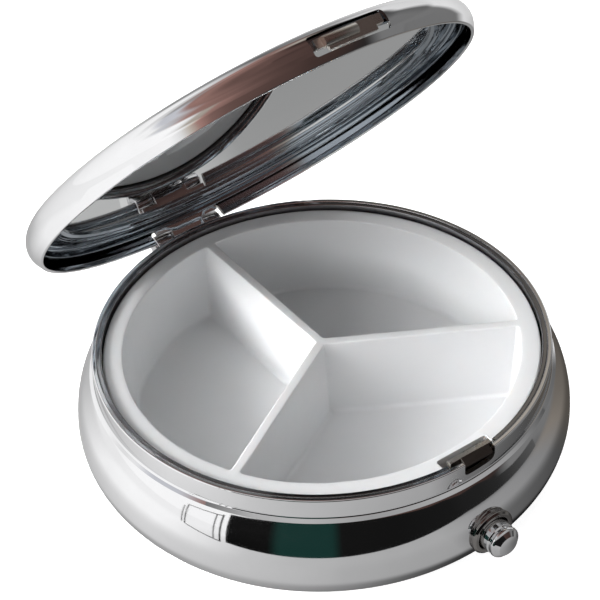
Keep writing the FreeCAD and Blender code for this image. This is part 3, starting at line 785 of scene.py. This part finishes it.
GREEN = (0.009, 0.034, 0.029)
BEIGE = (0.40, 0.365, 0.32)
COOL = (0.56, 0.57, 0.61)
ROOM = [
    (None, None, [(-180, 0.97), (-120, 1.0), (-47, 1.0), (-42, 0.9), (-38, mild(0.78)), (-34, warm(0.55)), (-28, warm(0.4)), (-22, warm(0.34)), (-5, warm(0.2)), (20, 0.12), (40, 0.15),
                  (48, 0.47), (95, 0.48), (103, 0.95), (140, 0.95), (156, 0.6), (170, 0.45), (180, 0.97)]),
    (sine(5), sine(12), [(-180, 0.97), (-120, 1.0), (-60, 1.0), (-52, 0.9), (-46, mild(0.64)), (-40, mild(0.62)), (-34, warm(0.5)), (-20, warm(0.38)), (-3, warm(0.29)), (15, warm(0.22)), (42, warm(0.2)),
                         (52, 0.45), (80, 0.46), (98, 0.40), (108, 0.9), (135, 0.9), (150, 0.6), (163, 0.4), (180, 0.97)]),
    (sine(27), sine(35), [(-180, 0.82), (-150, 0.84), (-130, 0.98), (-104, 0.97), (-96, 0.84), (-88, COOL), (-78, (0.49, 0.49, 0.51)), (-64, warm(0.52)), (-40, warm(0.43)), (-20, warm(0.34)),
                          (5, warm(0.25)), (40, warm(0.25)), (62, 0.43), (85, 0.37), (112, 0.26), (145, 0.2), (162, warm(0.45)), (180, 0.82)]),
    (sine(36), sine(43), [(-180, warm(0.53)), (-150, 0.58), (-138, COOL), (-100, COOL), (-88, (0.50, 0.48, 0.49)), (-64, warm(0.49)), (-40, warm(0.41)), (-20, warm(0.32)),
                          (5, warm(0.25)), (40, warm(0.24)), (62, 0.35), (98, 0.32), (120, BEIGE), (152, BEIGE), (165, warm(0.45)), (180, warm(0.53))]),
    (sine(48), sine(55), [(-180, warm(0.44)), (-120, warm(0.5)), (-75, warm(0.45)), (-40, warm(0.37)), (0, warm(0.28)), (40, warm(0.23)), (90, warm(0.2)),
                          (120, warm(0.17)), (150, warm(0.2)), (168, warm(0.38)), (180, warm(0.44))]),
    (sine(58), sine(76), [(-180, warm(0.33)), (-60, warm(0.33)), (0, warm(0.28)), (90, warm(0.24)), (180, warm(0.33))]),
]
# painted shadow: the floor as polished faces see it, by azimuth and distance; darker close to the box on the right as a
# painted contact shadow
FLOOR = [
    (None, None, [(-180, 0.6), (-135, 0.8), (-105, 0.72), (-60, 0.72), (-30, 0.56), (-15, 0.42), (0, 0.24), (15, 0.14), (60, 0.10), (100, 0.16), (150, 0.3), (180, 0.6)]),
    (0.0247, 0.0275, [(-180, 0.78), (-150, 0.80), (-120, 0.88), (-90, 0.88), (-60, 0.79), (-30, 0.69), (0, 0.64), (12, 0.42), (30, 0.37), (45, 0.34), (60, mild(0.36)),
                     (75, mild(0.34)), (100, 0.33), (110, 0.61), (150, 0.66), (165, 0.84), (180, 0.88)]),
    (0.031, 0.042, [(-180, 0.78), (-150, 0.82), (-120, 1.0), (-90, 1.0), (-75, 0.93), (-60, 0.79), (-45, 0.73), (-15, 0.69), (0, 0.67), (15, 0.60), (30, 0.57),
                    (45, 0.53), (60, mild(0.50)), (72, mild(0.44)), (90, mild(0.38)), (110, 0.64), (150, 0.65), (168, 0.86), (180, 0.88)]),
    (0.06, 0.11, [(-180, 0.94), (-46, 0.98), (-41, 0.88), (-37, mild(0.7)), (-33, warm(0.5)), (-28, warm(0.4)), (0, 0.15), (50, 0.36), (62, 0.46), (95, 0.48), (103, 0.96),
                  (150, 0.96), (166, 0.75), (180, 0.94)]),
]
WALL = [(-78, 0.06), (-53, 0.06), (-50, GREEN), (-34, GREEN), (-31, 0.08), (-12, 0.08), (8, 0.10), (15, 0.12), (22, 0.13), (30, 0.16), (38, 0.24), (52, 0.34)]
AHEAD = [(-80, 0.45), (-62, 0.70), (-45, 0.72), (-20, 0.62), (10, 0.68), (42, 0.6), (60, 0.48), (78, 0.3)]

LIGHT = [
    (None, None, [(-180, 0.05), (-165, 0.03), (-135, 0.19), (-105, 0.40), (-75, 0.03), (150, 0.0), (165, 0.06), (180, 0.05)]),
    (sine(13), sine(17), [(-180, 0.05), (-165, 0.1), (-135, 1.75), (-105, 3.24), (-75, 0.54), (-45, 0.0), (-15, 0.11), (15, 0.03), (45, 0.14), (75, 0.03), (105, 0.2), (135, 0.02), (180, 0.05)]),
    (sine(33), sine(37), [(-180, 0.1), (-150, 0.0), (-105, 0.14), (-75, 0.21), (-45, 0.0), (105, 0.0), (135, 0.65), (165, 0.33), (180, 0.1)]),
    (sine(58), sine(63), [(-180, 0.0), (-100, 0.0), (-80, 0.24), (-10, 0.24), (10, 0.0), (180, 0.0)]),
]

world = bpy.data.worlds.new("studio")
SCENE.world = world
world.use_nodes = True
wt = world.node_tree
background = wt.nodes["Background"]
coords = wt.nodes.new("ShaderNodeTexCoord")
azimuth, split = azimuth_of(wt, coords.outputs["Generated"])
wt.links.new(layered(wt, azimuth, split.outputs["Z"], ROOM), background.inputs["Color"])
# the light itself: a soft source low on the left, a weak one high behind and a faint ceiling
soft = wt.nodes.new("ShaderNodeBackground")
lit = layered(wt, azimuth, split.outputs["Z"], [
    (low, high, [(a, (v / 3.3, v / 3.3, v / 3.3)) for a, v in stops]) for low, high, stops in LIGHT])
wt.links.new(lit, soft.inputs["Color"])
soft.inputs["Strength"].default_value = 38.5
plain = wt.nodes.new("ShaderNodeBackground")
plain.inputs["Color"].default_value = (1, 1, 1, 1)
path = wt.nodes.new("ShaderNodeLightPath")
first = wt.nodes.new("ShaderNodeMixShader")
wt.links.new(path.outputs["Is Diffuse Ray"], first.inputs[0])
wt.links.new(background.outputs["Background"], first.inputs[1])
wt.links.new(soft.outputs["Background"], first.inputs[2])
second = wt.nodes.new("ShaderNodeMixShader")
wt.links.new(path.outputs["Is Camera Ray"], second.inputs[0])
wt.links.new(first.outputs["Shader"], second.inputs[1])
wt.links.new(plain.outputs["Background"], second.inputs[2])
wt.links.new(second.outputs["Shader"], wt.nodes["World Output"].inputs["Surface"])


def card(name, rows, colours, one_sided=False):
    """A studio card out of the camera's sight: only polished faces see it. rows are lists of
    points in mm, colours a function of the node tree that gives the glow's colour."""
    verts, faces = [], []
    for row in rows:
        verts += [(x * MM, y * MM, z * MM) for x, y, z in row]
    n = len(rows[0])
    for j in range(len(rows) - 1):
        for k in range(n - 1):
            faces.append((n * j + k, n * j + k + 1, n * (j + 1) + k + 1, n * (j + 1) + k))
    mesh = bpy.data.meshes.new(name)
    mesh.from_pydata(verts, [], faces)
    obj = new_object(name, mesh)
    mat = bpy.data.materials.new(name)
    mat.use_nodes = True
    t = mat.node_tree
    t.nodes.remove(t.nodes["Principled BSDF"])
    glow = t.nodes.new("ShaderNodeEmission")
    t.links.new(colours(t), glow.inputs["Color"])
    out = glow.outputs["Emission"]
    if one_sided:
        side = t.nodes.new("ShaderNodeNewGeometry")
        clear = t.nodes.new("ShaderNodeBsdfTransparent")
        mixed = t.nodes.new("ShaderNodeMixShader")
        t.links.new(side.outputs["Backfacing"], mixed.inputs[0])
        t.links.new(out, mixed.inputs[1])
        t.links.new(clear.outputs["BSDF"], mixed.inputs[2])
        out = mixed.outputs["Shader"]
    t.links.new(out, t.nodes["Material Output"].inputs["Surface"])
    obj.data.materials.append(mat)
    obj.visible_camera = False
    obj.visible_diffuse = False
    obj.visible_shadow = False
    obj.visible_transmission = False
    return obj


def on_floor(tree):
    place_at = tree.nodes.new("ShaderNodeTexCoord").outputs["Object"]
    az, parts = azimuth_of(tree, place_at)
    away = tree.nodes.new("ShaderNodeMath")
    away.operation = "SQRT"
    total = tree.nodes.new("ShaderNodeMath")
    total.operation = "ADD"
    for k, axis in enumerate(("X", "Y")):
        square = tree.nodes.new("ShaderNodeMath")
        square.operation = "MULTIPLY"
        tree.links.new(parts.outputs[axis], square.inputs[0])
        tree.links.new(parts.outputs[axis], square.inputs[1])
        tree.links.new(square.outputs["Value"], total.inputs[k])
    tree.links.new(total.outputs["Value"], away.inputs[0])
    return az, away.outputs["Value"]


def floor_colours(tree):
    az, away = on_floor(tree)
    return layered(tree, az, away, FLOOR)


def polar(az, r, z):
    a = math.radians(az)
    return (math.sin(a) * r, -math.cos(a) * r, z)


# a glossy-only stand-in for the floor, glowing with the FLOOR colours and their painted contact shadow
card("floor_card", [[(x, y, 0.12) for x in (-2000, 2000)] for y in (-2000, 2000)], floor_colours)
floor.visible_glossy = False
floor.visible_diffuse = True
# a low dark wall, straight across in front, stepping down and bending away on the right
def wall_reach(az):
    return 44.3 / math.cos(math.radians(az + 39)) if az < 14 else 75.0


WALL_TOP = [(-68, 20.8), (-40, 21.2), (0, 21.8), (6, 23.2), (22, 23.2), (26, 20.0), (30, 14.5), (38, 12.0), (52, 10.0)]
def wall_top(az):
    for (a, z), (b, y) in zip(WALL_TOP, WALL_TOP[1:]):
        if az <= b:
            return z + (y - z) * max(0.0, az - a) / (b - a)
    return WALL_TOP[-1][1]


edge = [-67.6 + 1.0 * k for k in range(120)]
card("wall_card", [[polar(az, wall_reach(az), 1.9 if low else wall_top(az)) for az in edge] for low in (True, False)],
     lambda t: by_azimuth(t, on_floor(t)[0], WALL).outputs["Color"])
# the thin dark frame of a white window beside it
BLACK = [(-180, 0.06), (180, 0.06)]
for k, (a, b, low, high) in enumerate(((-86.6, -86.1, 1.0, 16.5), (-85.1, -84.5, 1.0, 18.8), (-72.6, -72.1, 1.0, 18.8), (-70.2, -69.5, 1.0, 19.4), (-84.5, -69.5, 0.7, 1.3), (-84.5, -69.5, 18.3, 18.8))):
    n = max(1, int((b - a) / 2))
    line = [a + (b - a) * i / n for i in range(n + 1)]
    card("frame_%d_card" % k, [[polar(az, wall_reach(az), z) for az in line] for z in (low, high)],
         lambda t: by_azimuth(t, on_floor(t)[0], BLACK).outputs["Color"])
# a white sheet over the frame that only faces turned down from above see
card("over_frame_card", [[polar(az, r, 21.0) for az in range(-94, -65, 2)] for r in (84, 42)],
     lambda t: by_azimuth(t, on_floor(t)[0], [(-180, 1.0), (180, 1.0)]).outputs["Color"], one_sided=True)
# a light card that leans over the front of the box and is clear from above
card("front_card", [[polar(az, r, z) for az in range(-80, 79, 4)] for r, z in ((30, 30), (130, 66))],
     lambda t: by_azimuth(t, on_floor(t)[0], AHEAD).outputs["Color"], one_sided=True)

cam_data = bpy.data.cameras.new("camera")
cam = bpy.data.objects.new("camera", cam_data)
SCENE.collection.objects.link(cam)
AZ, EL, DIST, ROLL, FOCAL = math.radians(-34.129), math.radians(39.615), 199.428, math.radians(-2.663), 1957.0
back = Vector((math.sin(AZ) * math.cos(EL), -math.cos(AZ) * math.cos(EL), math.sin(EL)))
right = Vector((math.cos(AZ), math.sin(AZ), 0))
up = right.cross(-back)
R = right * math.cos(ROLL) + up * math.sin(ROLL)
U = -right * math.sin(ROLL) + up * math.cos(ROLL)
target = Vector((0, 0, 7.0)) + R * -2.352 + U * 9.154
pos = (target + back * DIST) * MM
cam.matrix_world = Matrix(((R.x, U.x, back.x, pos.x), (R.y, U.y, back.y, pos.y), (R.z, U.z, back.z, pos.z), (0, 0, 0, 1)))
cam_data.sensor_width = 36
cam_data.lens = FOCAL / 600 * 36
cam_data.clip_start = 0.01
cam_data.clip_end = 10
SCENE.camera = cam
SCENE.view_settings.view_transform = "Standard"

bpy.context.view_layer.update()
